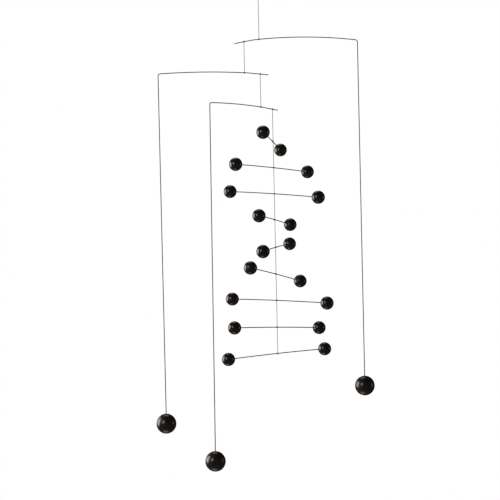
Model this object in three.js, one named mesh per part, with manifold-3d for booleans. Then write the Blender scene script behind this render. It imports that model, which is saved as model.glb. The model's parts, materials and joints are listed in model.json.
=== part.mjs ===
// A hanging mobile. Three bent wire arms hang one below the other, each with a large black ball on
// its long leg. Under the lowest arm one thread carries nine crossbars, each with a small black
// ball at both ends. Every arm is tied where it balances.
//
// Lengths are in millimetres and angles in degrees. +Z is up, +X points right and +Y points away
// from the viewer. The origin is where a hook bears, inside the top of the hanging loop.

import * as THREE from 'three';
import { mergeVertices } from 'three/addons/utils/BufferGeometryUtils.js';
import Module from 'manifold-3d';

// Wire and thread
const ARM_WIRE = 1.2; // diameter
const CROSSBAR_WIRE = 1.2; // diameter
const THREAD = 0.6; // diameter

// Balls
const LARGE_BALL = 30; // diameter
const SMALL_BALL = 20; // diameter
const LARGE_SOCKET_DEPTH = 9;
const SMALL_SOCKET_DEPTH = 7;

// Fits
const SOCKET_CLEARANCE = 0.15; // round the wire in a ball
const SOCKET_END_GAP = 0.3; // past the wire's end in a ball
const KNOT_CLEARANCE = 0.15; // round what a knot is tied on
const KNOT_WALL = 0.4;
const CROSSING_GAP = 0.15; // between a crossbar and the thread that it is lashed to
const THREAD_END_GAP = 0.3; // between a thread's end and its knot

// What the pieces weigh, in grams for each cubic millimetre, which settles where the arms balance
const STEEL_DENSITY = 7.85e-3;
const BALL_DENSITY = 1.1e-3;

// Hanging loop and threads. The loop's waist and shoulders are shares of its height and width.
const LOOP_HEIGHT = 14; // from the knot to where the hook bears
const LOOP_WIDTH = 7; // across the middles of its two sides
const LOOP_ROOT_WIDTH = 1.2; // across the middles of its two sides in the knot
const LOOP_WAIST = { height: 0.3, width: 0.62 };
const LOOP_SHOULDER = { height: 0.68, width: 1 };
const LOOP_KNOT_WIDTH = 2.4;
const LOOP_KNOT_HEIGHT = 3.2;
const HANGING_THREAD_DROP = 65; // from the loop's knot to the upper arm
const MIDDLE_THREAD_DROP = 47.8; // from the upper arm to the middle arm
const LOWER_THREAD_DROP = 50.7; // from the middle arm to the lower arm

// Arms. reach is from the arm's thread to its leg, and trim is how much further than the common
// drop its ball hangs. The wire arches over the reach, droops past the thread and ends in a tail.
const ARM_DROP = 533; // from the arm's height to its ball's middle
const CORNER_BEND_RADIUS = 3.6;
const DROOP_BEND_RADIUS = 180;
const ARMS = {
  upper: { azimuth: 9, reach: 154.5, trim: 0.9, archRadius: 750, droop: 11.7, tail: 15, lean: -0.18 },
  middle: { azimuth: 182.3, reach: 132.3, trim: -0.9, archRadius: 1100, droop: 6.4, tail: 13, lean: -0.3 },
  lower: { azimuth: 218.8, reach: 98.6, trim: 0, archRadius: 900, droop: 4.8, tail: 11, lean: 0.3 },
};

// Crossbars, from the top. drop is from the tie above, as a share of the spacing, and tie is from
// the bar's middle to its own tie, as a share of the span. side says on which side of the thread
// the wire passes. A positive tilt lifts the right end.
const CROSSBAR_SPACING = 40;
const CROSSBAR_SPAN = 150; // between the middles of its balls
const CROSSBAR_RISE = 0.9; // of the wire's middle over its balls
const CROSSBARS = [
  { drop: 1.2375, azimuth: 79, tilt: -4.3, tie: 0.0267, side: 1 },
  { drop: 1.025, azimuth: 42, tilt: -1.6, tie: 0.0267, side: -1 },
  { drop: 1, azimuth: -26, tilt: -6.5, tie: 0.01, side: 1 },
  { drop: 0.9875, azimuth: 70.5, tilt: -2, tie: -0.0267, side: 1 },
  { drop: 1.0625, azimuth: 73, tilt: 7, tie: -0.02, side: -1 },
  { drop: 1.025, azimuth: 58.5, tilt: -6.6, tie: -0.01, side: 1 },
  { drop: 1.0125, azimuth: -16, tilt: -3.8, tie: -0.0267, side: 1 },
  { drop: 1.025, azimuth: 29.5, tilt: -0.8, tie: -0.0067, side: 1 },
  { drop: 1, azimuth: 9, tilt: 4.9, tie: 0.01, side: 1 },
];

// How finely the round forms are cut into flats
const WIRE_SIDES = 8;
const CHANNEL_SIDES = 6;
const LARGE_BALL_SIDES = 18;
const LARGE_BALL_BANDS = 9;
const SMALL_BALL_SIDES = 14;
const SMALL_BALL_BANDS = 7;
const KNOT_SIDES = 8;
const KNOT_BANDS = 4;
const THREAD_STEP = 60;
const CROSSBAR_STEPS = 6;
const ARCH_STEPS = 10;
const CORNER_STEPS = 6;
const DROOP_STEPS = 3;
const LOOP_STEPS = 12;
const CUTTER_LENGTH = 3; // of a knot's channel, as a share of the knot's height

const black = { color: 0x14120f, roughness: 0.22, metalness: 0 };
const steel = { color: 0x3a3835, roughness: 0.4, metalness: 0.8 };
const thread = { color: 0x3d3b39, roughness: 0.7, metalness: 0 };

const wasm = await Module();
wasm.setup();

function radians(degrees) {
  return THREE.MathUtils.degToRad(degrees);
}

function piece(name, geometry, finish) {
  const mesh = new THREE.Mesh(geometry, new THREE.MeshStandardMaterial(finish));
  mesh.name = name;
  return mesh;
}

// Solids for cutting

function toManifold(geometry) {
  const bare = geometry.clone();
  bare.deleteAttribute('normal');
  bare.deleteAttribute('uv');
  const merged = mergeVertices(bare);
  const mesh = new wasm.Mesh({
    numProp: 3,
    vertProperties: Float32Array.from(merged.attributes.position.array),
    triVerts: Uint32Array.from(merged.index.array),
  });
  return new wasm.Manifold(mesh);
}

function toGeometry(solid) {
  const { vertProperties, triVerts } = solid.getMesh();
  const geometry = new THREE.BufferGeometry();
  geometry.setAttribute('position', new THREE.BufferAttribute(vertProperties, 3));
  geometry.setIndex(new THREE.BufferAttribute(triVerts, 1));
  geometry.computeVertexNormals();
  return geometry;
}

function volumeOf(geometry) {
  const { position } = geometry.attributes;
  const order = geometry.index;
  const corners = [new THREE.Vector3(), new THREE.Vector3(), new THREE.Vector3()];
  let volume = 0;
  for (let i = 0; i < order.count; i += 3) {
    corners.forEach((corner, k) => corner.fromBufferAttribute(position, order.getX(i + k)));
    volume += corners[0].dot(corners[1].cross(corners[2])) / 6;
  }
  return volume;
}

// Wire and thread along a path

// A path through stations that are spaced as its bends need, not evenly
class StationPath extends THREE.Curve {
  constructor(stations) {
    super();
    this.stations = stations;
    this.steps = stations.length - 1;
  }

  getPointAt(u) {
    const place = u * this.steps;
    const before = Math.min(Math.floor(place), this.steps - 1);
    return this.stations[before].clone().lerp(this.stations[before + 1], place - before);
  }

  getTangentAt(u) {
    const nearest = Math.round(u * this.steps);
    const before = this.stations[Math.max(nearest - 1, 0)];
    const after = this.stations[Math.min(nearest + 1, this.steps)];
    return after.clone().sub(before).normalize();
  }
}

// The radius of a polygon's corners, for the same area as a round section of this diameter
function cornerRadius(diameter, sides) {
  return diameter * Math.sqrt(Math.PI / (2 * sides * Math.sin((2 * Math.PI) / sides)));
}

function tube(stations, diameter) {
  const radius = cornerRadius(diameter, WIRE_SIDES);
  const corners = [];
  for (let i = 0; i < WIRE_SIDES; i += 1) {
    const turn = (2 * Math.PI * (i + 0.5)) / WIRE_SIDES;
    corners.push(new THREE.Vector2(radius * Math.cos(turn), radius * Math.sin(turn)));
  }
  const path = new StationPath(stations);
  return new THREE.ExtrudeGeometry(new THREE.Shape(corners), { steps: path.steps, extrudePath: path });
}

// Walks from a point in the XZ plane and lists the stations that it passes. A heading of 0 is +X
// and 90 is up, and each run is straight, or bends by an angle: left is positive.
function walk(start, startHeading, runs) {
  const stations = [start.clone()];
  const at = start.clone();
  let heading = radians(startHeading);
  for (const run of runs) {
    const turn = radians(run.bend ?? 0) / run.steps;
    const chord = run.bend ? 2 * run.radius * Math.sin(Math.abs(turn) / 2) : run.length / run.steps;
    for (let i = 0; i < run.steps; i += 1) {
      heading += turn / 2;
      at.add(new THREE.Vector3(chord * Math.cos(heading), 0, chord * Math.sin(heading)));
      stations.push(at.clone());
      heading += turn / 2;
    }
  }
  return { stations, at, heading: THREE.MathUtils.radToDeg(heading) };
}

function rodMass(diameter, length) {
  return (Math.PI / 4) * diameter ** 2 * length * STEEL_DENSITY;
}

// Balls, each with a drilled socket that opens at its top, along +Y

function ballGeometry(diameter, socketDepth, wire, sides, bands) {
  const radius = diameter / 2;
  const bore = wire / 2 + SOCKET_CLEARANCE;
  const mouthAngle = Math.asin(bore / radius);
  const floor = radius - socketDepth;
  const profile = [];
  for (let i = 0; i <= bands; i += 1) {
    const angle = Math.PI + (mouthAngle - Math.PI) * (i / bands);
    profile.push(new THREE.Vector2(radius * Math.sin(angle), radius * Math.cos(angle)));
  }
  profile[0].x = 0;
  profile.push(new THREE.Vector2(bore, floor), new THREE.Vector2(0, floor));
  return new THREE.LatheGeometry(profile, sides);
}

const largeBall = ballGeometry(LARGE_BALL, LARGE_SOCKET_DEPTH, ARM_WIRE, LARGE_BALL_SIDES, LARGE_BALL_BANDS);
const smallBall = ballGeometry(
  SMALL_BALL, SMALL_SOCKET_DEPTH, CROSSBAR_WIRE, SMALL_BALL_SIDES, SMALL_BALL_BANDS,
);
const largeBallMass = volumeOf(largeBall) * BALL_DENSITY;
const smallBallMass = volumeOf(smallBall) * BALL_DENSITY;

// From a ball's middle back to the end of the wire in it
const largeBallWireEnd = LARGE_BALL / 2 - LARGE_SOCKET_DEPTH + SOCKET_END_GAP;
const smallBallWireEnd = SMALL_BALL / 2 - SMALL_SOCKET_DEPTH + SOCKET_END_GAP;

// Puts a ball's middle at a point of the XZ plane, with its socket facing along a heading
function placeBall(name, geometry, middle, socketHeading) {
  const ball = piece(name, geometry, black);
  ball.position.copy(middle);
  ball.rotation.set(Math.PI / 2, radians(90 - socketHeading), 0, 'YXZ');
  return ball;
}

// Knots

// A bead of wraps tied round a rod, cut by a channel for each thing that passes through it
function knotGeometry(size, middle, channels) {
  const bead = new THREE.SphereGeometry(0.5, KNOT_SIDES, KNOT_BANDS);
  bead.scale(size.x, size.z, size.y).rotateX(Math.PI / 2);
  bead.translate(middle.x, middle.y, middle.z);
  let solid = toManifold(bead);
  for (const { diameter, through, heading } of channels) {
    const radius = (diameter / 2 + KNOT_CLEARANCE) / Math.cos(Math.PI / CHANNEL_SIDES);
    const cutter = new THREE.CylinderGeometry(radius, radius, CUTTER_LENGTH * size.z, CHANNEL_SIDES);
    cutter.rotateZ(Math.PI / 2).rotateY(-radians(heading));
    cutter.translate(through.x, through.y, through.z);
    solid = solid.subtract(toManifold(cutter));
  }
  return toGeometry(solid);
}

const knotWidth = ARM_WIRE + 2 * (KNOT_CLEARANCE + KNOT_WALL);

// A knot on an arm's wire, which leaves its thread from the top or the bottom
function armKnot(name, at, heading) {
  const size = new THREE.Vector3(knotWidth, knotWidth, knotWidth);
  const wire = { diameter: ARM_WIRE, through: new THREE.Vector3(), heading };
  const knot = piece(name, knotGeometry(size, new THREE.Vector3(), [wire]), thread);
  knot.position.copy(at);
  return knot;
}

// Threads, straight down between two heights on one axis

function hangingThread(name, top, bottom) {
  const steps = Math.ceil((top - bottom) / THREAD_STEP);
  const { stations } = walk(new THREE.Vector3(0, 0, top), -90, [{ length: top - bottom, steps }]);
  return piece(name, tube(stations, THREAD), thread);
}

// Crossbars

const crossingOffset = (CROSSBAR_WIRE + THREAD) / 2 + CROSSING_GAP;
const crossbarRadius = CROSSBAR_SPAN ** 2 / (8 * CROSSBAR_RISE);
const crossbarBallAngle = THREE.MathUtils.radToDeg(CROSSBAR_SPAN / 2 / crossbarRadius);
const crossbarEndAngle = THREE.MathUtils.radToDeg(
  (CROSSBAR_SPAN / 2 - smallBallWireEnd) / crossbarRadius,
);
const crossbarMass = 2 * smallBallMass + rodMass(CROSSBAR_WIRE, CROSSBAR_SPAN - 2 * smallBallWireEnd);

function onCrossbarArc(angle) {
  const turn = radians(angle);
  return new THREE.Vector3(crossbarRadius * Math.sin(turn), 0, crossbarRadius * (Math.cos(turn) - 1));
}

function crossbar(name, { azimuth, tilt, tie, side }) {
  const start = onCrossbarArc(-crossbarEndAngle);
  const run = { bend: -2 * crossbarEndAngle, radius: crossbarRadius, steps: CROSSBAR_STEPS };
  const { stations } = walk(start, crossbarEndAngle, [run]);
  const tilted = new THREE.Group();
  tilted.rotation.y = -radians(tilt);
  const bar = new THREE.Group();
  bar.position.set(-tie * CROSSBAR_SPAN, side * crossingOffset, 0);
  bar.add(
    piece(name, tube(stations, CROSSBAR_WIRE), steel),
    placeBall(`${name}_ball_left`, smallBall, onCrossbarArc(-crossbarBallAngle), crossbarBallAngle),
    placeBall(`${name}_ball_right`, smallBall, onCrossbarArc(crossbarBallAngle), 180 - crossbarBallAngle),
  );
  tilted.add(bar);

  const knotMiddle = new THREE.Vector3(0, (side * crossingOffset) / 2, 0);
  const knotSize = new THREE.Vector3(knotWidth, knotWidth + crossingOffset, knotWidth);
  const crossing = new THREE.Vector3(0, side * crossingOffset, 0);
  const channels = [
    { diameter: CROSSBAR_WIRE, through: crossing, heading: tilt },
    { diameter: THREAD, through: new THREE.Vector3(), heading: 90 },
  ];
  const turned = new THREE.Group();
  turned.rotation.z = radians(azimuth);
  turned.add(tilted, piece(`${name}_knot`, knotGeometry(knotSize, knotMiddle, channels), thread));
  return turned;
}

// Arms

// The tie for the load, measured back from the arm's own thread, so that the arm hangs level
function balancedTie(arm, leg, load) {
  const wirePerLength = rodMass(ARM_WIRE, 1);
  const legSway = Math.sin(radians(arm.lean)) * leg;
  const moment =
    largeBallMass * (arm.reach + legSway) +
    wirePerLength * leg * (arm.reach + legSway / 2) +
    (wirePerLength * arm.reach ** 2) / 2;
  const slope = load + wirePerLength * arm.tail;
  const rest = moment - (wirePerLength * arm.tail ** 2) / 2;
  return (Math.sqrt(slope ** 2 + 2 * wirePerLength * rest) - slope) / wirePerLength;
}

// Works out an arm's path in its own plane, from the tail's end to the wire's end in the ball
function planArm(arm, load) {
  const { reach, archRadius, lean } = arm;
  const startAngle = THREE.MathUtils.radToDeg(Math.asin(reach / 2 / archRadius));
  const endAngle = THREE.MathUtils.radToDeg(
    Math.asin((reach / 2 - CORNER_BEND_RADIUS) / (archRadius - CORNER_BEND_RADIUS)),
  );
  const origin = new THREE.Vector3();
  const corner = walk(origin, startAngle, [
    { bend: -(startAngle + endAngle), radius: archRadius, steps: ARCH_STEPS },
    { bend: -(90 - lean - endAngle), radius: CORNER_BEND_RADIUS, steps: CORNER_STEPS },
  ]);
  const legToBall = (ARM_DROP + arm.trim + corner.at.z) / Math.cos(radians(lean));
  const tie = balancedTie(arm, legToBall, load);

  const droopBend = arm.droop - startAngle;
  const droopLength = radians(droopBend) * DROOP_BEND_RADIUS;
  const droop = [{ bend: droopBend, radius: DROOP_BEND_RADIUS, steps: DROOP_STEPS }];
  const back = walk(origin, 180 + startAngle, [
    ...droop,
    { length: tie + arm.tail - droopLength, steps: 1 },
  ]);
  const leg = walk(corner.at, corner.heading, [{ length: legToBall - largeBallWireEnd, steps: 1 }]);
  const ballMiddle = walk(corner.at, corner.heading, [{ length: legToBall, steps: 1 }]).at;
  const tieAt = walk(origin, 180 + startAngle, [...droop, { length: tie - droopLength, steps: 1 }]).at;

  const wireLength = legToBall - largeBallWireEnd + reach + tie + arm.tail;
  return {
    stations: [...back.stations.reverse(), ...corner.stations.slice(1), ...leg.stations.slice(1)],
    startAngle,
    ballMiddle,
    tieAt,
    mass: largeBallMass + rodMass(ARM_WIRE, wireLength),
  };
}

// Builds an arm whose thread meets it at its group's origin. Returns the group and the inner group
// under its tie, which carries what hangs there.
function buildArm(name, arm, plan) {
  const group = new THREE.Group();
  group.rotation.z = radians(arm.azimuth);
  group.add(
    piece(name, tube(plan.stations, ARM_WIRE), steel),
    placeBall(`${name}_ball`, largeBall, plan.ballMiddle, 90 + arm.lean),
    armKnot(`${name}_knot`, new THREE.Vector3(), plan.startAngle),
    armKnot(`${name}_end_knot`, plan.tieAt, arm.droop),
  );
  const below = new THREE.Group();
  below.position.copy(plan.tieAt);
  below.rotation.z = -radians(arm.azimuth);
  group.add(below);
  return { group, below };
}

// A straight thread between two arm knots, with the lower arm's group at its foot
function hang(name, parent, drop, child) {
  const knotReach = knotWidth / 2 + THREAD_END_GAP;
  parent.add(hangingThread(name, -knotReach, knotReach - drop), child);
  child.position.z = -drop;
}

// Hanging loop: a hairpin of thread over a knot

function hairpin() {
  const top = LOOP_HEIGHT + THREAD / 2;
  const onSide = ({ height, width }, side) =>
    new THREE.Vector3((side * width * LOOP_WIDTH) / 2, 0, height * top);
  const path = new THREE.CatmullRomCurve3([
    new THREE.Vector3(-LOOP_ROOT_WIDTH / 2, 0, THREAD_END_GAP),
    onSide(LOOP_WAIST, -1),
    onSide(LOOP_SHOULDER, -1),
    new THREE.Vector3(0, 0, top),
    onSide(LOOP_SHOULDER, 1),
    onSide(LOOP_WAIST, 1),
    new THREE.Vector3(LOOP_ROOT_WIDTH / 2, 0, THREAD_END_GAP),
  ]);
  return tube(path.getSpacedPoints(LOOP_STEPS), THREAD);
}

// The mobile

const lowerPlan = planArm(ARMS.lower, CROSSBARS.length * crossbarMass);
const lowerLoad = CROSSBARS.length * crossbarMass + lowerPlan.mass;
const middlePlan = planArm(ARMS.middle, lowerLoad);
const upperPlan = planArm(ARMS.upper, lowerLoad + middlePlan.mass);

const upper = buildArm('upper_arm', ARMS.upper, upperPlan);
const middle = buildArm('middle_arm', ARMS.middle, middlePlan);
const lower = buildArm('lower_arm', ARMS.lower, lowerPlan);

const mobile = new THREE.Group();
const loop = piece('hanging_loop', hairpin(), thread);
loop.position.z = -LOOP_HEIGHT;
const loopKnot = piece(
  'hanging_loop_knot',
  new THREE.SphereGeometry(0.5, KNOT_SIDES, KNOT_BANDS)
    .rotateX(Math.PI / 2)
    .scale(LOOP_KNOT_WIDTH, LOOP_KNOT_WIDTH, LOOP_KNOT_HEIGHT),
  thread,
);
loopKnot.position.z = -LOOP_HEIGHT - LOOP_KNOT_HEIGHT / 2;
mobile.add(loop, loopKnot);

const threadTop = -LOOP_HEIGHT - LOOP_KNOT_HEIGHT - THREAD_END_GAP;
const upperHeight = -LOOP_HEIGHT - LOOP_KNOT_HEIGHT - HANGING_THREAD_DROP;
mobile.add(
  hangingThread('hanging_thread', threadTop, upperHeight + knotWidth / 2 + THREAD_END_GAP),
  upper.group,
);
upper.group.position.z = upperHeight;

hang('middle_thread', upper.below, MIDDLE_THREAD_DROP, middle.group);
hang('lower_thread', middle.below, LOWER_THREAD_DROP, lower.group);

const centreThreadTop = -knotWidth / 2 - THREAD_END_GAP;
let height = 0;
CROSSBARS.forEach((bar, i) => {
  height -= bar.drop * CROSSBAR_SPACING;
  const group = crossbar(`crossbar_${i + 1}`, bar);
  group.position.z = height;
  lower.below.add(group);
});
lower.below.add(hangingThread('centre_thread', centreThreadTop, height - knotWidth));

export default mobile;
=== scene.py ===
import json
import math

import bpy
from mathutils import Matrix, Vector


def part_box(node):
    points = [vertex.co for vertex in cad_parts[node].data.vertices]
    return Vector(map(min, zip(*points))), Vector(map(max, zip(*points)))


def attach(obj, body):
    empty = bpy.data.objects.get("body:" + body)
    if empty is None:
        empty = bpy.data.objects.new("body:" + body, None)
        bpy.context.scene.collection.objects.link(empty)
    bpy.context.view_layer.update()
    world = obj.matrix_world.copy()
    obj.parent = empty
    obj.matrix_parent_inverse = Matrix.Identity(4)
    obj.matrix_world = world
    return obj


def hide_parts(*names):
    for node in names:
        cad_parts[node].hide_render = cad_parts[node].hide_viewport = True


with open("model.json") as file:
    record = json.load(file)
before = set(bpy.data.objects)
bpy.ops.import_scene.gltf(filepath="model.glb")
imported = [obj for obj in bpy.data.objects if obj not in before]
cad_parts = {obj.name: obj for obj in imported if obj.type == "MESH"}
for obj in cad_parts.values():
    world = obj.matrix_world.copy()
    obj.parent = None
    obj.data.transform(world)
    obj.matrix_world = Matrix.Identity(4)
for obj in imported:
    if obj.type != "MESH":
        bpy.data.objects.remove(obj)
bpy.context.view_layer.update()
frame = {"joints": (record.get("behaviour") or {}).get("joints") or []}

# The looks of a hanging mobile: three bent wire arms with a large black ball each, and a thread of
# nine crossbars with two small black balls each. Lengths are in metres, but in millimetres in the
# arms' table and for the lens. Angles are in degrees unless it says otherwise.

MM = 0.001

# Wire, thread and balls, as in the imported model. ARM_KNOT_REACH is from the wire's side to the
# outside of the knot on an arm.
ARM_WIRE = 1.2 * MM
CROSSBAR_WIRE = 1.2 * MM
THREAD = 0.6 * MM
THREAD_END_GAP = 0.3 * MM
ARM_KNOT_REACH = 0.55 * MM
LARGE_BALL = 30 * MM
SMALL_BALL = 20 * MM
LARGE_SOCKET_DEPTH = 9 * MM
SMALL_SOCKET_DEPTH = 7 * MM
SOCKET_CLEARANCE = 0.15 * MM
SOCKET_END_GAP = 0.3 * MM
SOCKET_CHAMFER = 0.25 * MM
WIRE_END_ROUNDING = 0.35 * MM

# Arms. tail is how far the wire runs on past the next thread's knot.
ARM_DROP = 533 * MM
CORNER_BEND_RADIUS = 3.6 * MM
DROOP_BEND_RADIUS = 180 * MM
ARMS = {
    "upper": dict(azimuth=9, reach=154.5, trim=0.9, arch=750, droop=11.7, tail=15, lean=-0.18),
    "middle": dict(azimuth=182.3, reach=132.3, trim=-0.9, arch=1100, droop=6.4, tail=13, lean=-0.3),
    "lower": dict(azimuth=218.8, reach=98.6, trim=0, arch=900, droop=4.8, tail=11, lean=0.3),
}

# Crossbars, from the top. tie is a share of the span, and side is the side of the thread that the
# wire passes on.
CROSSBAR_SPAN = 150 * MM
CROSSBAR_RISE = 0.9 * MM
CROSSING_GAP = 0.15 * MM
CROSSBARS = [
    dict(azimuth=79, tilt=-4.3, tie=0.0267, side=1),
    dict(azimuth=42, tilt=-1.6, tie=0.0267, side=-1),
    dict(azimuth=-26, tilt=-6.5, tie=0.01, side=1),
    dict(azimuth=70.5, tilt=-2, tie=-0.0267, side=1),
    dict(azimuth=73, tilt=7, tie=-0.02, side=-1),
    dict(azimuth=58.5, tilt=-6.6, tie=-0.01, side=1),
    dict(azimuth=-16, tilt=-3.8, tie=-0.0267, side=1),
    dict(azimuth=29.5, tilt=-0.8, tie=-0.0067, side=1),
    dict(azimuth=9, tilt=4.9, tie=0.01, side=1),
]

# The hanging loop, from its knot to where a hook bears. Its waist and shoulders are shares of its
# height and width, and its two feet run down into the knot.
LOOP_HEIGHT = 14 * MM
LOOP_WIDTH = 7 * MM
LOOP_ROOT_WIDTH = 1.2 * MM
LOOP_WAIST = dict(height=0.3, width=0.62)
LOOP_SHOULDER = dict(height=0.68, width=1)
LOOP_FOOT_DEPTH = 0.5 * MM

# How finely the forms are cut
WIRE_SIDES = 20
THREAD_SIDES = 18
WRAP_SIDES = 12
THREAD_STEP = 0.36 * MM
LARGE_BALL_SIDES = 112
LARGE_BALL_BANDS = 64
SMALL_BALL_SIDES = 80
SMALL_BALL_BANDS = 46
ARCH_STEPS = 60
CORNER_STEPS = 16
LEG_STEPS = 40
DROOP_STEPS = 12
TAIL_STEPS = 14
CROSSBAR_STEPS = 44
LOOP_SPAN_STEPS = 16
LOOP_CORE_SIDES = 16
CROSSING_STEPS = 40
HUG_STEPS = 44
COLLAR_STEPS = 24
COLLAR_SIDES = 10

# Rounded ends: where the extra points go, and the share of the section's area left at the tip.
# CHAMFER_SHARES are the points round the edge of a socket's mouth. LEG_LOOK_BACK is how many
# points from its end a leg's direction is read at. POLE_ANGLE, in radians, and SOCKET_FLOOR_SHARE
# keep a ball's first and last rings from closing to a point. A path that starts steeper than
# NEARLY_UPRIGHT takes its first normal from the X axis and not from Z.
LEG_LOOK_BACK = 8
ROUND_END_SHARES = (0.0, 0.12, 0.3, 0.6, 1.0)
TIP_AREA = 0.04
CHAMFER_SHARES = (0.3, 0.7, 1.0)
POLE_ANGLE = 0.002
SOCKET_FLOOR_SHARE = 0.02
NEARLY_UPRIGHT = 0.9

# Thread and wraps. The strands of a thread stand out past its usual girth by their groove.
# LOWER_LIFT and UPPER_LIFT are how far the turns that cross a crossbar's wire stand clear of it,
# as shares of a wrap's thickness.
STRANDS = 3
STRANDED = 1.27
TWIST_PITCH = 2.7 * MM
WRAP = 0.4 * MM
WRAP_PITCH = 1.6 * MM
LAP = 0.15 * MM
CROSSING_SLANT = 0.48 * MM
CROSSING_SLIDE = 0.16 * MM
LASHING_WRAPS = 3
LOWER_LIFT = 0.1
UPPER_LIFT = 0.35

# The knots on the arms. Rises and girths are shares of a wrap's thickness.
UNDER_WRAPS = 5
OVER_WRAPS = 3
OVER_RISE = 0.7
CROSSING_SWAY = 0.5 * MM
CROSSING_RISE = 0.1
CROSSING_SWELL = 0.2
CROSSING_GIRTH = 0.9
COLLAR_RADIUS = 0.44 * MM
COLLAR_RISE = 0.35
COLLAR_GIRTH = 0.8

# The barrel knot under the loop. Its wraps draw in by LOOP_WRAP_TAPER towards both ends, and
# LOOP_WRAP_ROOM and LOOP_CORE_INSET are shares of a wrap's thickness.
LOOP_WRAP = 0.52 * MM
LOOP_WRAPS = 5
LOOP_WRAP_ROOM = 1.1
LOOP_WRAP_TAPER = 0.28
LOOP_CORE_INSET = 1.7
LOOP_CORE_END = 0.1 * MM
LOOP_CORE_ROUNDING = 0.5 * MM

# Camera
FOCAL_LENGTH = 121.312
SENSOR = 36
CAMERA_AT = (-0.02544, -2.56604, -0.53261)
CAMERA_YAW = 0.106
CAMERA_PITCH = 2.835
CAMERA_ROLL = -1.231

# Stage. TONE_GAMMA deepens the picture's mid tones, and with them its thin dark lines. A light's
# power follows from its radiance and its area, and every light is turned to MIDDLE.
FLOOR_RADIUS = 3.9
FLOOR_HEIGHT = -2.2
FLOOR_SIDES = 96
FLOOR_RINGS = 5
FLOOR_FIRST_RING = 0.01
MIDDLE = (0, 0, -0.45)
TONE_GAMMA = 0.8
LIGHTS = {
    "left window": dict(
        at=(-1.29, 0.19, -0.32), width=0.82, height=1.35, radiance=8.2, colour=(1, 0.92, 0.88),
        shape="ELLIPSE",
    ),
    "left rear glow": dict(
        at=(-1.1, 0.9, -0.3), width=0.65, height=1.2, radiance=2.6, colour=(1, 0.94, 0.90),
        shape="ELLIPSE",
    ),
    "front window": dict(
        at=(-1.35, -1.6, 0.1), width=0.97, height=1.26, radiance=6.6, colour=(1, 0.93, 0.89),
        shape="ELLIPSE",
    ),
    "overhead strip": dict(
        at=(-0.2, 0.85, 1.2), width=1.1, height=1.0, radiance=2.7, colour=(1, 0.88, 0.81),
        shape="RECTANGLE",
    ),
    "low bounce": dict(
        at=(-0.28, 0.3, -2.0), width=0.8, height=0.75, radiance=2.6, colour=(1, 0.83, 0.75),
        shape="RECTANGLE",
    ),
    "right bounce": dict(
        at=(2.2, 0.1, -0.45), width=0.5, height=1.3, radiance=2.8, colour=(1, 0.94, 0.89),
        shape="ELLIPSE",
    ),
}


def rad(degrees):
    return math.radians(degrees)


# Camera


def make_camera():
    yaw, pitch, roll = rad(CAMERA_YAW), rad(CAMERA_PITCH), rad(CAMERA_ROLL)
    forward = Vector(
        (math.sin(yaw) * math.cos(pitch), math.cos(yaw) * math.cos(pitch), math.sin(pitch))
    )
    level = Vector((math.cos(yaw), -math.sin(yaw), 0))
    upright = level.cross(forward)
    right = level * math.cos(roll) + upright * math.sin(roll)
    up = upright * math.cos(roll) - level * math.sin(roll)
    data = bpy.data.cameras.new("camera")
    data.lens = FOCAL_LENGTH
    data.sensor_width = SENSOR
    data.clip_end = 100
    camera = bpy.data.objects.new("camera", data)
    turn = Matrix((right, up, -forward)).transposed()
    camera.matrix_world = Matrix.Translation(CAMERA_AT) @ turn.to_4x4()
    bpy.context.scene.collection.objects.link(camera)
    bpy.context.scene.camera = camera


# Mesh building


def transported(points, closed=False):
    """Tangents, normals and arc lengths along a path, with the normals carried without twist."""
    count = len(points)
    tangents = []
    for i in range(count):
        if closed:
            a, b = points[i - 1], points[(i + 1) % count]
        else:
            a, b = points[max(i - 1, 0)], points[min(i + 1, count - 1)]
        tangents.append((b - a).normalized())
    helper = Vector((0, 0, 1)) if abs(tangents[0].z) < NEARLY_UPRIGHT else Vector((1, 0, 0))
    normal = (helper - tangents[0] * helper.dot(tangents[0])).normalized()
    normals, lengths = [normal], [0.0]
    for i in range(1, count):
        normal = normals[-1] - tangents[i] * normals[-1].dot(tangents[i])
        normals.append(normal.normalized())
        lengths.append(lengths[-1] + (points[i] - points[i - 1]).length)
    if closed:
        back = normals[-1] - tangents[0] * normals[-1].dot(tangents[0])
        miss = back.normalized().cross(normals[0]).dot(tangents[0])
        whole = math.atan2(miss, back.normalized().dot(normals[0]))
        for i in range(count):
            turn = Matrix.Rotation(whole * i / count, 3, tangents[i])
            normals[i] = turn @ normals[i]
    return tangents, normals, lengths


def strand_radius(angle, strands):
    """The outline of round strands laid side by side, as a share of their common outer radius."""
    off = 1 / math.sin(math.pi / strands)
    part = 2 * math.pi / strands
    local = (angle + part / 2) % part - part / 2
    inside = max(1 - (off * math.sin(local)) ** 2, 0)
    return (off * math.cos(local) + math.sqrt(inside)) / (1 + off)


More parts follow.
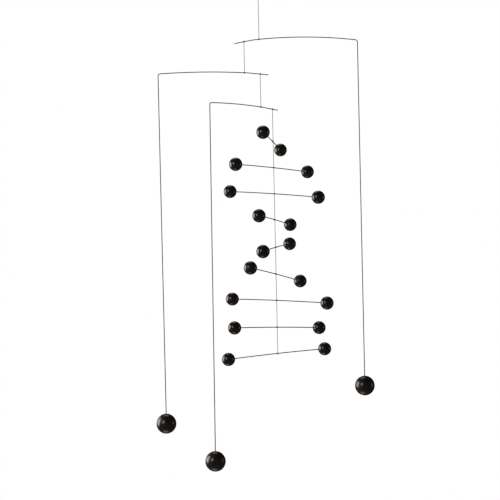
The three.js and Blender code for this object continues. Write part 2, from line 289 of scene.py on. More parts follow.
class Shape:
    """Gathers lofted surfaces into one mesh."""

    def __init__(self):
        self.points, self.faces, self.uvs = [], [], []

    def loft(self, rings, lengths, closed=False):
        start, sides = len(self.points), len(rings[0])
        for ring in rings:
            self.points.extend(ring)
        last = len(rings) if closed else len(rings) - 1
        for i in range(last):
            j = (i + 1) % len(rings)
            here = lengths[i]
            there = lengths[j] if j else lengths[-1] + lengths[1]
            for k in range(sides):
                m = (k + 1) % sides
                self.faces.append(
                    (start + i * sides + k, start + i * sides + m,
                     start + j * sides + m, start + j * sides + k)
                )
                self.uvs.extend(
                    ((k / sides, here), ((k + 1) / sides, here),
                     ((k + 1) / sides, there), (k / sides, there))
                )
        if not closed:
            for i, flip in ((0, True), (len(rings) - 1, False)):
                rim = [start + i * sides + k for k in range(sides)]
                self.faces.append(tuple(reversed(rim)) if flip else tuple(rim))
                self.uvs.extend((k / sides, lengths[i]) for k in range(sides))

    def tube(self, points, diameter, sides, strands=0, pitch=1, closed=False, rounding=0.0):
        """A round or stranded tube along points. rounding draws its ends in over that length."""
        tangents, normals, lengths = transported(points, closed)
        total = lengths[-1] + ((points[0] - points[-1]).length if closed else 0)
        turns = total / pitch
        if closed and strands:
            turns = max(round(turns * strands), 1) / strands
        rings = []
        for i, point in enumerate(points):
            side = tangents[i].cross(normals[i])
            size = diameter / 2
            if rounding:
                end = min(lengths[i], total - lengths[i], rounding) / rounding
                size *= math.sqrt(max(1 - (1 - end) ** 2, TIP_AREA))
            ring = []
            for k in range(sides):
                angle = 2 * math.pi * k / sides
                share = 1.0
                if strands:
                    share = strand_radius(angle - 2 * math.pi * turns * lengths[i] / total, strands)
                arm = normals[i] * math.cos(angle) + side * math.sin(angle)
                ring.append(point + arm * (size * share))
            rings.append(ring)
        self.loft(rings, lengths, closed)

    def object(self, name, material, slot, body, sharp=50):
        mesh = bpy.data.meshes.new(name)
        mesh.from_pydata([tuple(p) for p in self.points], [], self.faces)
        layer = mesh.uv_layers.new(name="along")
        flat = [c for uv in self.uvs for c in uv]
        layer.data.foreach_set("uv", flat)
        mesh.polygons.foreach_set("use_smooth", [True] * len(mesh.polygons))
        mesh.set_sharp_from_angle(angle=rad(sharp))
        mesh.materials.append(material)
        mesh.validate()
        made = bpy.data.objects.new(name, mesh)
        bpy.context.scene.collection.objects.link(made)
        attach(made, body)
        return made


def spread(start, end, step):
    """Points from start to end, evenly, no further apart than step."""
    count = max(math.ceil((end - start).length / step), 1)
    return [start.lerp(end, i / count) for i in range(count + 1)]


def smooth_route(knots, per_span):
    """A smooth curve through every knot."""
    ends = [knots[0] * 2 - knots[1], *knots, knots[-1] * 2 - knots[-2]]
    points = []
    for i in range(1, len(ends) - 2):
        a, b, c, d = ends[i - 1 : i + 3]
        for k in range(per_span):
            t = k / per_span
            points.append(
                0.5 * (2 * b + (c - a) * t + (2 * a - 5 * b + 4 * c - d) * t * t
                       + (3 * b - a - 3 * c + d) * t ** 3)
            )
    points.append(knots[-1].copy())
    return points


def walk(start, heading, runs):
    """Points in the XZ plane from start. A run is (length, bend, steps), and left is positive."""
    points, at, heading = [start.copy()], start.copy(), rad(heading)
    for length, bend, steps in runs:
        turn = rad(bend) / steps
        chord = length / steps
        if bend:
            chord *= math.sin(abs(turn) / 2) / (abs(turn) / 2)
        for _ in range(steps):
            heading += turn / 2
            at = at + Vector((chord * math.cos(heading), 0, chord * math.sin(heading)))
            points.append(at)
            heading += turn / 2
    return points, at, math.degrees(heading)


def bend_run(bend, radius, steps):
    return (abs(rad(bend)) * radius, bend, steps)


# Procedural materials


def new_group(name, inputs, outputs):
    group = bpy.data.node_groups.new(name, "ShaderNodeTree")
    for socket, kind, value in inputs:
        made = group.interface.new_socket(socket, in_out="INPUT", socket_type=kind)
        if value is not None:
            made.default_value = value
    for socket, kind in outputs:
        group.interface.new_socket(socket, in_out="OUTPUT", socket_type=kind)
    return group, group.nodes.new("NodeGroupInput"), group.nodes.new("NodeGroupOutput")


def add(tree, kind, **settings):
    node = tree.nodes.new(kind)
    for key, value in settings.items():
        if hasattr(node, key):
            setattr(node, key, value)
        else:
            node.inputs[key.replace("_", " ")].default_value = value
    return node


def make_mottle_group():
    """Soft patches with finer grain in them, from 0 to 1."""
    group, start, end = new_group(
        "Mottle",
        [("Vector", "NodeSocketVector", None), ("Patch Scale", "NodeSocketFloat", 90.0),
         ("Grain Scale", "NodeSocketFloat", 900.0), ("Grain Share", "NodeSocketFloat", 0.4)],
        [("Mask", "NodeSocketFloat")],
    )
    patch = add(group, "ShaderNodeTexNoise", Detail=3.0, Roughness=0.55)
    grain = add(group, "ShaderNodeTexNoise", Detail=4.0, Roughness=0.6)
    mix = add(group, "ShaderNodeMix", data_type="FLOAT")
    sharpen = add(group, "ShaderNodeMapRange", From_Min=0.36, From_Max=0.64)
    link = group.links.new
    link(start.outputs["Vector"], patch.inputs["Vector"])
    link(start.outputs["Vector"], grain.inputs["Vector"])
    link(start.outputs["Patch Scale"], patch.inputs["Scale"])
    link(start.outputs["Grain Scale"], grain.inputs["Scale"])
    link(start.outputs["Grain Share"], mix.inputs["Factor"])
    link(patch.outputs["Fac"], mix.inputs["A"])
    link(grain.outputs["Fac"], mix.inputs["B"])
    link(mix.outputs["Result"], sharpen.inputs["Value"])
    link(sharpen.outputs["Result"], end.inputs["Mask"])
    return group


def make_relief_group():
    """A fine relief: a height of two grains, and the normal that it gives."""
    group, start, end = new_group(
        "Fine Relief",
        [("Vector", "NodeSocketVector", None), ("Coarse Scale", "NodeSocketFloat", 300.0),
         ("Fine Scale", "NodeSocketFloat", 2500.0), ("Fine Share", "NodeSocketFloat", 0.3),
         ("Strength", "NodeSocketFloat", 0.1), ("Depth", "NodeSocketFloat", 0.0001)],
        [("Height", "NodeSocketFloat"), ("Normal", "NodeSocketVector")],
    )
    coarse = add(group, "ShaderNodeTexNoise", Detail=2.0, Roughness=0.5)
    fine = add(group, "ShaderNodeTexNoise", Detail=3.0, Roughness=0.6)
    mix = add(group, "ShaderNodeMix", data_type="FLOAT")
    bump = add(group, "ShaderNodeBump")
    link = group.links.new
    link(start.outputs["Vector"], coarse.inputs["Vector"])
    link(start.outputs["Vector"], fine.inputs["Vector"])
    link(start.outputs["Coarse Scale"], coarse.inputs["Scale"])
    link(start.outputs["Fine Scale"], fine.inputs["Scale"])
    link(start.outputs["Fine Share"], mix.inputs["Factor"])
    link(coarse.outputs["Fac"], mix.inputs["A"])
    link(fine.outputs["Fac"], mix.inputs["B"])
    link(mix.outputs["Result"], bump.inputs["Height"])
    link(start.outputs["Strength"], bump.inputs["Strength"])
    link(start.outputs["Depth"], bump.inputs["Distance"])
    link(mix.outputs["Result"], end.inputs["Height"])
    link(bump.outputs["Normal"], end.inputs["Normal"])
    return group


def make_speck_group():
    """Sparse small specks, such as settled dust, from 0 to 1."""
    group, start, end = new_group(
        "Specks",
        [("Vector", "NodeSocketVector", None), ("Scale", "NodeSocketFloat", 500.0),
         ("Speck Size", "NodeSocketFloat", 0.1), ("Spare Share", "NodeSocketFloat", 0.8)],
        [("Mask", "NodeSocketFloat")],
    )
    cells = add(group, "ShaderNodeTexVoronoi", feature="F1")
    split = add(group, "ShaderNodeSeparateColor")
    near = add(group, "ShaderNodeMath", operation="LESS_THAN")
    some = add(group, "ShaderNodeMath", operation="GREATER_THAN")
    both = add(group, "ShaderNodeMath", operation="MULTIPLY")
    link = group.links.new
    link(start.outputs["Vector"], cells.inputs["Vector"])
    link(start.outputs["Scale"], cells.inputs["Scale"])
    link(cells.outputs["Distance"], near.inputs[0])
    link(start.outputs["Speck Size"], near.inputs[1])
    link(cells.outputs["Color"], split.inputs["Color"])
    link(split.outputs["Red"], some.inputs[0])
    link(start.outputs["Spare Share"], some.inputs[1])
    link(near.outputs[0], both.inputs[0])
    link(some.outputs[0], both.inputs[1])
    link(both.outputs[0], end.inputs["Mask"])
    return group


def make_lines_group():
    """Lines drawn out along a wire or fibres along a thread, from its own length and girth."""
    group, start, end = new_group(
        "Drawn Lines",
        [("Around", "NodeSocketFloat", 24.0), ("Along", "NodeSocketFloat", 60.0),
         ("Twist", "NodeSocketFloat", 0.0), ("Strength", "NodeSocketFloat", 0.2),
         ("Depth", "NodeSocketFloat", 0.00003)],
        [("Mask", "NodeSocketFloat"), ("Normal", "NodeSocketVector")],
    )
    uv = add(group, "ShaderNodeUVMap", uv_map="along")
    split = add(group, "ShaderNodeSeparateXYZ")
    turned = add(group, "ShaderNodeMath", operation="MULTIPLY_ADD")
    angle = add(group, "ShaderNodeMath", operation="MULTIPLY")
    angle.inputs[1].default_value = 2 * math.pi
    cosine = add(group, "ShaderNodeMath", operation="COSINE")
    sine = add(group, "ShaderNodeMath", operation="SINE")
    scaled_cosine = add(group, "ShaderNodeMath", operation="MULTIPLY")
    scaled_sine = add(group, "ShaderNodeMath", operation="MULTIPLY")
    run = add(group, "ShaderNodeMath", operation="MULTIPLY")
    join = add(group, "ShaderNodeCombineXYZ")
    noise = add(group, "ShaderNodeTexNoise", Scale=1.0, Detail=3.0, Roughness=0.6)
    sharpen = add(group, "ShaderNodeMapRange", From_Min=0.35, From_Max=0.65)
    bump = add(group, "ShaderNodeBump")
    link = group.links.new
    link(uv.outputs["UV"], split.inputs["Vector"])
    link(split.outputs["Y"], turned.inputs[0])
    link(start.outputs["Twist"], turned.inputs[1])
    link(split.outputs["X"], turned.inputs[2])
    link(turned.outputs[0], angle.inputs[0])
    link(angle.outputs[0], cosine.inputs[0])
    link(angle.outputs[0], sine.inputs[0])
    link(cosine.outputs[0], scaled_cosine.inputs[0])
    link(start.outputs["Around"], scaled_cosine.inputs[1])
    link(sine.outputs[0], scaled_sine.inputs[0])
    link(start.outputs["Around"], scaled_sine.inputs[1])
    link(split.outputs["Y"], run.inputs[0])
    link(start.outputs["Along"], run.inputs[1])
    link(scaled_cosine.outputs[0], join.inputs["X"])
    link(scaled_sine.outputs[0], join.inputs["Y"])
    link(run.outputs[0], join.inputs["Z"])
    link(join.outputs["Vector"], noise.inputs["Vector"])
    link(noise.outputs["Fac"], sharpen.inputs["Value"])
    link(sharpen.outputs["Result"], bump.inputs["Height"])
    link(start.outputs["Strength"], bump.inputs["Strength"])
    link(start.outputs["Depth"], bump.inputs["Distance"])
    link(sharpen.outputs["Result"], end.inputs["Mask"])
    link(bump.outputs["Normal"], end.inputs["Normal"])
    return group


MOTTLE = make_mottle_group()
RELIEF = make_relief_group()
SPECKS = make_speck_group()
LINES = make_lines_group()


def use_group(tree, group, **values):
    node = tree.nodes.new("ShaderNodeGroup")
    node.node_tree = group
    for key, value in values.items():
        node.inputs[key.replace("_", " ")].default_value = value
    return node


def new_material(name, **fixed):
    """A material with a Principled shader whose even values sit on its own sockets."""
    material = bpy.data.materials.new(name)
    material.use_nodes = True
    shader = material.node_tree.nodes["Principled BSDF"]
    for key, value in fixed.items():
        shader.inputs[key.replace("_", " ")].default_value = value
    return material, material.node_tree, shader


def colour_ramp(tree, factor, dark, light, target):
    mix = add(tree, "ShaderNodeMix", data_type="RGBA")
    mix.inputs["A"].default_value = (*dark, 1)
    mix.inputs["B"].default_value = (*light, 1)
    tree.links.new(factor, mix.inputs["Factor"])
    tree.links.new(mix.outputs["Result"], target)
    return mix


def value_range(tree, factor, low, high, target):
    spread_out = add(tree, "ShaderNodeMapRange", To_Min=low, To_Max=high)
    tree.links.new(factor, spread_out.inputs["Value"])
    tree.links.new(spread_out.outputs["Result"], target)


def make_ball_material(name, smoothest, roughest, dust_roughness=0.25):
    """Black lacquer: a deep gloss with a slight ripple, faint patches and a little dust."""
    material, tree, shader = new_material(name, IOR=1.5)
    place = add(tree, "ShaderNodeTexCoord")
    patches = use_group(tree, MOTTLE, Patch_Scale=110.0, Grain_Scale=1400.0, Grain_Share=0.35)
    relief = use_group(
        tree, RELIEF, Coarse_Scale=260.0, Fine_Scale=2400.0, Fine_Share=0.15, Strength=0.025,
        Depth=0.0001,
    )
    dust = use_group(tree, SPECKS, Scale=900.0, Speck_Size=0.12, Spare_Share=0.86)
    rough = add(tree, "ShaderNodeMath", operation="MULTIPLY_ADD")
    rough.inputs[1].default_value = dust_roughness
    link = tree.links.new
    for node in (patches, relief, dust):
        link(place.outputs["Object"], node.inputs["Vector"])
    base = colour_ramp(
        tree, patches.outputs["Mask"], dark=(0.0240, 0.0213, 0.0188),
        light=(0.0270, 0.0240, 0.0214), target=shader.inputs["Base Color"],
    )
    dusty = add(tree, "ShaderNodeMix", data_type="RGBA")
    dusty.inputs["B"].default_value = (0.032, 0.029, 0.027, 1)
    link(dust.outputs["Mask"], dusty.inputs["Factor"])
    link(base.outputs["Result"], dusty.inputs["A"])
    link(dusty.outputs["Result"], shader.inputs["Base Color"])
    value_range(tree, patches.outputs["Mask"], smoothest, roughest, rough.inputs[2])
    link(dust.outputs["Mask"], rough.inputs[0])
    link(rough.outputs[0], shader.inputs["Roughness"])
    link(relief.outputs["Normal"], shader.inputs["Normal"])
    return material


def make_wire_material():
    """Darkened steel wire, with lines drawn out along it and patches of duller oxide."""
    material, tree, shader = new_material("darkened steel wire", Metallic=0.7)
    place = add(tree, "ShaderNodeTexCoord")
    lines = use_group(tree, LINES, Around=5.0, Along=70.0, Strength=0.25, Depth=0.00004)
    patches = use_group(tree, MOTTLE, Patch_Scale=60.0, Grain_Scale=1600.0, Grain_Share=0.45)
    both = add(tree, "ShaderNodeMix", data_type="FLOAT")
    both.inputs["Factor"].default_value = 0.5
    link = tree.links.new
    link(place.outputs["Object"], patches.inputs["Vector"])
    link(lines.outputs["Mask"], both.inputs["A"])
    link(patches.outputs["Mask"], both.inputs["B"])
    colour_ramp(
        tree, both.outputs["Result"], dark=(0.043, 0.032, 0.017), light=(0.100, 0.075, 0.040),
        target=shader.inputs["Base Color"],
    )
    value_range(
        tree, both.outputs["Result"], low=0.4, high=0.6, target=shader.inputs["Roughness"]
    )
    link(lines.outputs["Normal"], shader.inputs["Normal"])
    return material


def make_thread_material(name, dark, light, rough_low, rough_high, sheen):
    """Twisted thread, with fibres that follow the twist and a patchy dye."""
    material, tree, shader = new_material(
        name, Sheen_Weight=sheen, Sheen_Roughness=0.5, Specular_IOR_Level=0.3
    )
    place = add(tree, "ShaderNodeTexCoord")
    fibres = use_group(
        tree, LINES, Around=6.0, Along=900.0, Twist=-1 / TWIST_PITCH, Strength=0.5, Depth=0.00005
    )
    patches = use_group(tree, MOTTLE, Patch_Scale=140.0, Grain_Scale=2600.0, Grain_Share=0.5)
    both = add(tree, "ShaderNodeMix", data_type="FLOAT")
    both.inputs["Factor"].default_value = 0.45
    link = tree.links.new
    link(place.outputs["Object"], patches.inputs["Vector"])
    link(fibres.outputs["Mask"], both.inputs["A"])
    link(patches.outputs["Mask"], both.inputs["B"])
    colour_ramp(tree, both.outputs["Result"], dark, light, shader.inputs["Base Color"])
    value_range(tree, both.outputs["Result"], rough_low, rough_high, shader.inputs["Roughness"])
    link(fibres.outputs["Normal"], shader.inputs["Normal"])
    return material


def make_floor_material():
    """Paper of a pale tone with a painted glow: it gives off white light of its own, weaker near
    the middle and stronger towards its edge, where it meets the white behind it.
    """
    material, tree, shader = new_material("pale paper with painted glow", Roughness=0.9, Specular_IOR_Level=0.1)
    place = add(tree, "ShaderNodeTexCoord")
    patches = use_group(tree, MOTTLE, Patch_Scale=3.0, Grain_Scale=60.0, Grain_Share=0.3)
    relief = use_group(
        tree, RELIEF, Coarse_Scale=80.0, Fine_Scale=600.0, Fine_Share=0.4, Strength=0.05,
        Depth=0.0005,
    )
    away = add(tree, "ShaderNodeVectorMath", operation="LENGTH")
    link = tree.links.new
    link(place.outputs["Object"], patches.inputs["Vector"])
    link(place.outputs["Object"], relief.inputs["Vector"])
    link(place.outputs["Object"], away.inputs[0])
    colour_ramp(
        tree, patches.outputs["Mask"], dark=(0.80, 0.795, 0.785), light=(0.83, 0.825, 0.815),
        target=shader.inputs["Base Color"],
    )
    # Painted glow: the floor emits white light itself, from 0.55 near the middle to 1.0 at its
    # edge, though it is no lamp.
    glow = add(
        tree, "ShaderNodeMapRange", From_Min=0.4, From_Max=FLOOR_RADIUS, To_Min=0.55, To_Max=1.0
    )
    shader.inputs["Emission Color"].default_value = (1, 1, 1, 1)
    link(away.outputs["Value"], glow.inputs["Value"])
    link(glow.outputs["Result"], shader.inputs["Emission Strength"])
    link(relief.outputs["Normal"], shader.inputs["Normal"])
    return material


large_ball_lacquer = make_ball_material("black gloss lacquer", smoothest=0.25, roughest=0.29)
small_ball_lacquer = make_ball_material("deep gloss lacquer", smoothest=0.15, roughest=0.19)
wire_steel = make_wire_material()
thread_fibre = make_thread_material(
    "twisted thread", dark=(0.006, 0.0055, 0.005), light=(0.019, 0.0175, 0.0155),
    rough_low=0.6, rough_high=0.85, sheen=0.06,
)
knot_fibre = make_thread_material(
    "waxed knot thread", dark=(0.003, 0.0028, 0.0025), light=(0.010, 0.009, 0.008),
    rough_low=0.42, rough_high=0.65, sheen=0.03,
)

make_camera()

# Threads: each is one straight cord between what it is tied to


def thread_cord(name, body, far_end="object"):
    low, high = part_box(name)
    x, y = (low.x + high.x) / 2, (low.y + high.y) / 2
    route = spread(Vector((x, y, high.z)), Vector((x, y, low.z)), THREAD_STEP)
    if far_end == "knot":
        route.reverse()
    shape = Shape()
    shape.tube(route, THREAD * STRANDED, THREAD_SIDES, strands=STRANDS, pitch=TWIST_PITCH)
    made = shape.object(f"{name}_twist", thread_fibre, "thread", body)
    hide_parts(name)


def hanging_loop():
    """A hairpin of thread, whose feet run into its knot."""
    top = LOOP_HEIGHT + THREAD / 2
    side = [(LOOP_ROOT_WIDTH / 2, -LOOP_FOOT_DEPTH), (LOOP_ROOT_WIDTH / 2, THREAD_END_GAP)]
    for share in (LOOP_WAIST, LOOP_SHOULDER):
        side.append((share["width"] * LOOP_WIDTH / 2, share["height"] * top))
    hairpin = [
        *((-x, z) for x, z in side),
        (0, top),
        *reversed(side),
    ]
    knots = [Vector((x, 0, z - LOOP_HEIGHT)) for x, z in hairpin]
    shape = Shape()
    shape.tube(
        smooth_route(knots, LOOP_SPAN_STEPS), THREAD * STRANDED, THREAD_SIDES,
        strands=STRANDS, pitch=TWIST_PITCH,
    )
    made = shape.object("hanging_loop_twist", thread_fibre, "thread", "hanger")
    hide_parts("hanging_loop")
    return made


def coil_points(turns, radius, length, per_turn=26):
    """A helix round the X axis, about the origin."""
    count = round(turns * per_turn)
    points = []
    for i in range(count + 1):
        angle = 2 * math.pi * turns * i / count
        along = length * (i / count - 0.5)
        points.append(Vector((along, radius * math.sin(angle), radius * math.cos(angle))))
    return points


def loop_knot():
    """A barrel of wraps round the foot of the loop."""
    low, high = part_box("hanging_loop_knot")
    middle = (low + high) / 2
    width = high.x - low.x
    stand = Matrix.Translation(middle) @ Matrix.Rotation(rad(90), 4, "Y")
    shape = Shape()
    wraps = coil_points(
        LOOP_WRAPS, (width - LOOP_WRAP) / 2, (high.z - low.z) - LOOP_WRAP * LOOP_WRAP_ROOM
    )
    for i, point in enumerate(wraps):
        share = abs(2 * i / (len(wraps) - 1) - 1)
        point.yz = point.yz * (1 - LOOP_WRAP_TAPER * share ** 3)
    shape.tube(
        [stand @ p for p in wraps], LOOP_WRAP, WRAP_SIDES,
        strands=STRANDS, pitch=WRAP_PITCH, rounding=LOOP_WRAP / 2,
    )
    core = spread(
        Vector((0, 0, low.z + LOOP_CORE_END)), Vector((0, 0, high.z - LOOP_CORE_END)), THREAD_STEP
    )
    shape.tube(
        core, width - LOOP_CORE_INSET * LOOP_WRAP, LOOP_CORE_SIDES, rounding=LOOP_CORE_ROUNDING
    )
    neck = spread(
        Vector((0, 0, low.z + LAP)), Vector((0, 0, low.z - THREAD_END_GAP - LAP)), THREAD_STEP / 2
    )
    shape.tube(neck, THREAD * STRANDED, THREAD_SIDES, strands=STRANDS, pitch=TWIST_PITCH)
    made = shape.object("hanging_loop_knot_wraps", knot_fibre, "thread", "hanger")
    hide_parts("hanging_loop_knot")
    return made


loop = hanging_loop()
barrel = loop_knot()
thread_cord("hanging_thread", "hanger", far_end="knot")
thread_cord("middle_thread", "upper_arm")
thread_cord("lower_thread", "middle_arm")
thread_cord("centre_thread", "lower_arm")

# Balls


def ball_profile(diameter, depth, wire, bands):
    """Radius and height from the bottom, up round the ball, over the mouth and down the socket."""
    radius, bore = diameter / 2, wire / 2 + SOCKET_CLEARANCE
    mouth = bore + SOCKET_CHAMFER
    top = math.acos(-math.sqrt(1 - (mouth / radius) ** 2))
    profile = []
    for i in range(bands + 1):
        angle = max(top * i / bands, POLE_ANGLE)
        profile.append((radius * math.sin(angle), -radius * math.cos(angle)))
    rim = profile[-1][1]
    for share in CHAMFER_SHARES:
        turn = math.pi / 2 * share
        profile.append(
            (mouth - SOCKET_CHAMFER * math.sin(turn), rim - SOCKET_CHAMFER * (1 - math.cos(turn)))
        )
    profile.append((bore, radius - depth))
    profile.append((bore * SOCKET_FLOOR_SHARE, radius - depth))
    return profile


def ball(name, middle, axis, diameter, depth, wire, sides, bands, material, body):
    """A turned ball with its socket open along axis."""
    turn = axis.to_track_quat("Z", "Y").to_matrix()
    rings, lengths = [], []
    for r, z in ball_profile(diameter, depth, wire, bands):
        ring = []
        for k in range(sides):
            angle = 2 * math.pi * k / sides
            ring.append(middle + turn @ Vector((r * math.cos(angle), r * math.sin(angle), z)))
        rings.append(ring)
        lengths.append(z)
    shape = Shape()
    shape.loft(rings, lengths)
    made = shape.object(f"{name}_lacquered", material, "black_gloss", body)
    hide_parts(name)


# Knots


def turn_angles(count):
    return [2 * math.pi * i / count for i in range(count)]


def wraps_round(shape, place, turns, radius):
    """Wraps side by side round a wire."""
    coil = coil_points(turns, radius, (turns - 1) * WRAP)
    shape.tube(
        [place @ p for p in coil], WRAP, WRAP_SIDES,
        strands=STRANDS, pitch=WRAP_PITCH, rounding=WRAP / 2,
    )


def arm_knot(name, at, heading, azimuth, up, body):
    """Two layers of wraps round the arm's wire, a turn that crosses them, and the thread's neck."""
    place = (
        Matrix.Translation(at)
        @ Matrix.Rotation(rad(azimuth), 4, "Z")
        @ Matrix.Rotation(-rad(heading), 4, "Y")
    )
    shape = Shape()
    under = ARM_WIRE / 2 + WRAP / 2
    over = under + OVER_RISE * WRAP
    wraps_round(shape, place, UNDER_WRAPS, under)
    wraps_round(shape, place, OVER_WRAPS, over)
    crossing = []
    for angle in turn_angles(CROSSING_STEPS):
        out = over + WRAP * (CROSSING_RISE + CROSSING_SWELL * math.cos(2 * angle))
        crossing.append(
            place @ Vector((CROSSING_SWAY * math.sin(angle), out * math.sin(angle),
                            out * math.cos(angle)))
        )
    shape.tube(
        crossing, CROSSING_GIRTH * WRAP, WRAP_SIDES,
        strands=STRANDS, pitch=WRAP_PITCH, closed=True,
    )
    sense = 1 if up else -1
    neck = at + Vector((0, 0, sense * (ARM_WIRE / 2 + ARM_KNOT_REACH + THREAD_END_GAP + LAP)))
    foot = at + Vector((0, 0, sense * under))
    shape.tube(spread(foot, neck, THREAD_STEP / 2), THREAD * STRANDED, THREAD_SIDES,
               strands=STRANDS, pitch=TWIST_PITCH)
    rise = Vector((0, 0, sense * (over + COLLAR_RISE * WRAP)))
    collar = [
        at + rise + Vector((COLLAR_RADIUS * math.cos(angle), COLLAR_RADIUS * math.sin(angle), 0))
        for angle in turn_angles(COLLAR_STEPS)
    ]
    shape.tube(collar, COLLAR_GIRTH * WRAP, COLLAR_SIDES, closed=True)
    made = shape.object(f"{name}_wraps", knot_fibre, "thread", body)
    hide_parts(name)


def lashing(name, at, bar, offset, body):
    """Wraps round the wire, and turns that cross over it and over the thread beside it.
    bar places the wire's own axes."""
    turn = bar.to_3x3()
    shape = Shape()
    on_wire = Matrix.Translation(at) @ bar @ Matrix.Translation((0, offset, 0))
    wraps_round(shape, on_wire, LASHING_WRAPS, (CROSSBAR_WIRE + WRAP) / 2)
    for slant, lift in ((1, LOWER_LIFT * WRAP), (-1, UPPER_LIFT * WRAP)):
        for slide in (-CROSSING_SLIDE, CROSSING_SLIDE):
            hug = hugging_turn(offset, CROSSBAR_WIRE / 2, THREAD / 2, WRAP / 2 + lift)
            for point, angle in zip(hug, turn_angles(len(hug))):
                point.x = slant * CROSSING_SLANT * math.sin(angle) + slide
            shape.tube([at + turn @ p for p in hug], WRAP, WRAP_SIDES, strands=STRANDS,
                       pitch=WRAP_PITCH, closed=True)
    made = shape.object(f"{name}_wraps", knot_fibre, "thread", body)
    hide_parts(name)


def hugging_turn(offset, wire_reach, thread_reach, clear):
    """A closed turn across X that hugs the thread at the origin and the wire beside it."""
    lean = math.asin((wire_reach - thread_reach) / abs(offset))
    facing = 1 if offset > 0 else -1
    points = []
    for angle in turn_angles(HUG_STEPS):
        across, up = math.cos(angle), math.sin(angle)
        on_wire = across * facing > -math.sin(lean)
        middle = offset if on_wire else 0.0
        reach = (wire_reach if on_wire else thread_reach) + clear
        points.append(Vector((0, middle + across * reach, up * reach)))
    return points


# Arms


def pivot(name):
    joint = next(j for j in frame["joints"] if j["name"] == f"{name}_swivel")
    return Vector(joint["pos_m"])


def arm_route(arm, tie):
    """The wire's points in the arm's plane, its ball's middle and its heading at the first knot.
    tie is where the next thread's knot is, in the same plane."""
    reach, arch, lean = arm["reach"] * MM, arm["arch"] * MM, arm["lean"]
    start = math.degrees(math.asin(reach / 2 / arch))
    end = math.degrees(
        math.asin((reach / 2 - CORNER_BEND_RADIUS) / (arch - CORNER_BEND_RADIUS))
    )
    origin = Vector((0, 0, 0))
    front, corner, heading = walk(origin, start, [
        bend_run(-(start + end), arch, ARCH_STEPS),
        bend_run(-(90 - lean - end), CORNER_BEND_RADIUS, CORNER_STEPS),
    ])
    to_ball = (ARM_DROP + arm["trim"] * MM + corner.z) / math.cos(rad(lean))
    in_ball = LARGE_BALL / 2 - LARGE_SOCKET_DEPTH + SOCKET_END_GAP
    leg, _, _ = walk(corner, heading, [(to_ball - in_ball, 0, LEG_STEPS)])
    _, middle, _ = walk(corner, heading, [(to_ball, 0, 1)])
    droop = arm["droop"] - start
    bent, straight, heading = walk(
        origin, 180 + start, [bend_run(droop, DROOP_BEND_RADIUS, DROOP_STEPS)]
    )
    run = (tie - straight).length + arm["tail"] * MM
    tail, _, _ = walk(straight, heading, [(run, 0, TAIL_STEPS)])
    back = [*bent, *tail[1:]]
    return [*reversed(back), *front[1:], *leg[1:]], middle, start


def with_round_ends(points, reach):
    """The same path with points close to both ends, where the wire is rounded off."""
    first, last = points[0], points[-1]
    head = (points[1] - first).normalized()
    tail = (points[-2] - last).normalized()
    start = [first + head * (reach * s) for s in ROUND_END_SHARES]
    end = [last + tail * (reach * s) for s in reversed(ROUND_END_SHARES)]
    return [*start, *points[1:-1], *end]


def make_arm(key):
    arm, name = ARMS[key], f"{key}_arm"
    at = pivot(name)
    place = Matrix.Translation(at) @ Matrix.Rotation(rad(arm["azimuth"]), 4, "Z")
    low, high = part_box(f"{name}_end_knot")
    tie = (low + high) / 2
    route, middle, start = arm_route(arm, place.inverted() @ tie)
    route = with_round_ends(route, WIRE_END_ROUNDING)
    shape = Shape()
    shape.tube([place @ p for p in route], ARM_WIRE, WIRE_SIDES, rounding=WIRE_END_ROUNDING)
    wire = shape.object(f"{name}_wire", wire_steel, "steel_wire", name)
    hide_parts(name)
    up_the_leg = route[-LEG_LOOK_BACK] - route[-1]
    socket_axis = (place.to_3x3() @ up_the_leg).normalized()
    ball(
        f"{name}_ball", place @ middle, socket_axis, LARGE_BALL, LARGE_SOCKET_DEPTH, ARM_WIRE,
        LARGE_BALL_SIDES, LARGE_BALL_BANDS, large_ball_lacquer, name,
    )
    arm_knot(f"{name}_knot", at, start, arm["azimuth"], True, name)
    arm_knot(f"{name}_end_knot", tie, arm["droop"], arm["azimuth"], False, name)


for key in ARMS:
    make_arm(key)

# Crossbars


def make_crossbar(number, bar):
    name = f"crossbar_{number}"
    at = pivot(name)
    offset = bar["side"] * ((CROSSBAR_WIRE + THREAD) / 2 + CROSSING_GAP)
    radius = CROSSBAR_SPAN ** 2 / (8 * CROSSBAR_RISE)
    in_ball = SMALL_BALL / 2 - SMALL_SOCKET_DEPTH + SOCKET_END_GAP
    reach = (CROSSBAR_SPAN / 2 - in_ball) / radius
    tilted = (
        Matrix.Rotation(rad(bar["azimuth"]), 4, "Z") @ Matrix.Rotation(-rad(bar["tilt"]), 4, "Y")
    )
    place = (
        Matrix.Translation(at)
        @ tilted
        @ Matrix.Translation((-bar["tie"] * CROSSBAR_SPAN, offset, 0))
    )

    def on_arc(turn):
        return Vector((radius * math.sin(turn), 0, radius * (math.cos(turn) - 1)))

    route = [
        on_arc(reach * (2 * i / CROSSBAR_STEPS - 1)) for i in range(CROSSBAR_STEPS + 1)
    ]
    route = with_round_ends(route, WIRE_END_ROUNDING)
    shape = Shape()
    shape.tube([place @ p for p in route], CROSSBAR_WIRE, WIRE_SIDES, rounding=WIRE_END_ROUNDING)
    wire = shape.object(f"{name}_wire", wire_steel, "steel_wire", name)
    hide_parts(name)
    half = CROSSBAR_SPAN / 2 / radius
    for end, sense in (("left", -1), ("right", 1)):
        inward = Vector((-sense * math.cos(half), 0, math.sin(half)))
        ball(
            f"{name}_ball_{end}", place @ on_arc(sense * half),
            (place.to_3x3() @ inward).normalized(), SMALL_BALL, SMALL_SOCKET_DEPTH,
            CROSSBAR_WIRE, SMALL_BALL_SIDES, SMALL_BALL_BANDS, small_ball_lacquer, name,
        )
    lashing(f"{name}_knot", at, tilted, offset, name)


for number, bar in enumerate(CROSSBARS, 1):
    make_crossbar(number, bar)

# Floor, backdrop and light


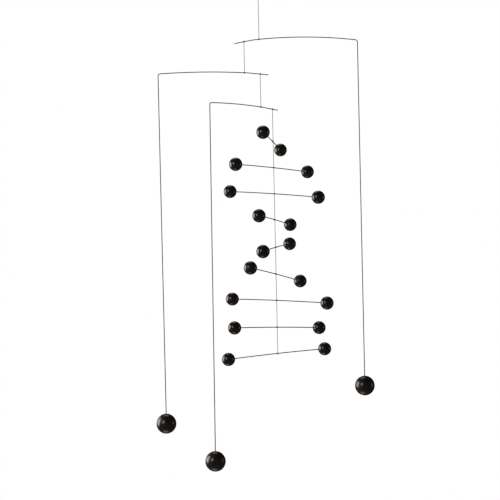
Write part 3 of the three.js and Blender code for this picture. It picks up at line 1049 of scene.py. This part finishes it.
def make_floor():
    points = []
    for ring in range(FLOOR_RINGS):
        radius = FLOOR_RADIUS * max(ring, FLOOR_FIRST_RING) / (FLOOR_RINGS - 1)
        points.extend((radius * math.cos(angle), radius * math.sin(angle), 0)
                      for angle in turn_angles(FLOOR_SIDES))
    faces = [tuple(range(FLOOR_SIDES))]
    for ring in range(FLOOR_RINGS - 1):
        for k in range(FLOOR_SIDES):
            a = ring * FLOOR_SIDES + k
            b = ring * FLOOR_SIDES + (k + 1) % FLOOR_SIDES
            faces.append((a, a + FLOOR_SIDES, b + FLOOR_SIDES, b))
    mesh = bpy.data.meshes.new("floor")
    mesh.from_pydata(points, [], faces)
    mesh.materials.append(make_floor_material())
    floor = bpy.data.objects.new("floor", mesh)
    floor.location = (0, 0, FLOOR_HEIGHT)
    floor.visible_glossy = False
    bpy.context.scene.collection.objects.link(floor)


def soft_light(name, at, width, height, radiance, colour, shape):
    """A flat light of even radiance, turned to the mobile, that the camera itself doesn't see."""
    data = bpy.data.lights.new(name, "AREA")
    data.shape = shape
    data.size, data.size_y = width, height
    area = width * height * (math.pi / 4 if shape == "ELLIPSE" else 1)
    data.energy = radiance * math.pi * area
    data.color = colour
    light = bpy.data.objects.new(name, data)
    light.location = at
    aim = Vector(MIDDLE) - Vector(at)
    light.rotation_euler = aim.to_track_quat("-Z", "Y").to_euler()
    light.visible_camera = False
    bpy.context.scene.collection.objects.link(light)


def make_world():
    world = bpy.data.worlds.new("studio")
    world.use_nodes = True
    tree = world.node_tree
    tree.nodes.clear()
    out = tree.nodes.new("ShaderNodeOutputWorld")
    white = add(tree, "ShaderNodeBackground", Color=(1, 1, 1, 1), Strength=1.0)
    dim = add(tree, "ShaderNodeBackground", Color=(1, 0.96, 0.92, 1), Strength=0.035)
    path = tree.nodes.new("ShaderNodeLightPath")
    mix = tree.nodes.new("ShaderNodeMixShader")
    tree.links.new(path.outputs["Is Camera Ray"], mix.inputs[0])
    tree.links.new(dim.outputs[0], mix.inputs[1])
    tree.links.new(white.outputs[0], mix.inputs[2])
    tree.links.new(mix.outputs[0], out.inputs["Surface"])
    bpy.context.scene.world = world


make_floor()
make_world()
for name, light in LIGHTS.items():
    soft_light(name, **light)

settings = bpy.context.scene.view_settings
settings.view_transform = "Standard"
settings.look = "None"
settings.gamma = TONE_GAMMA
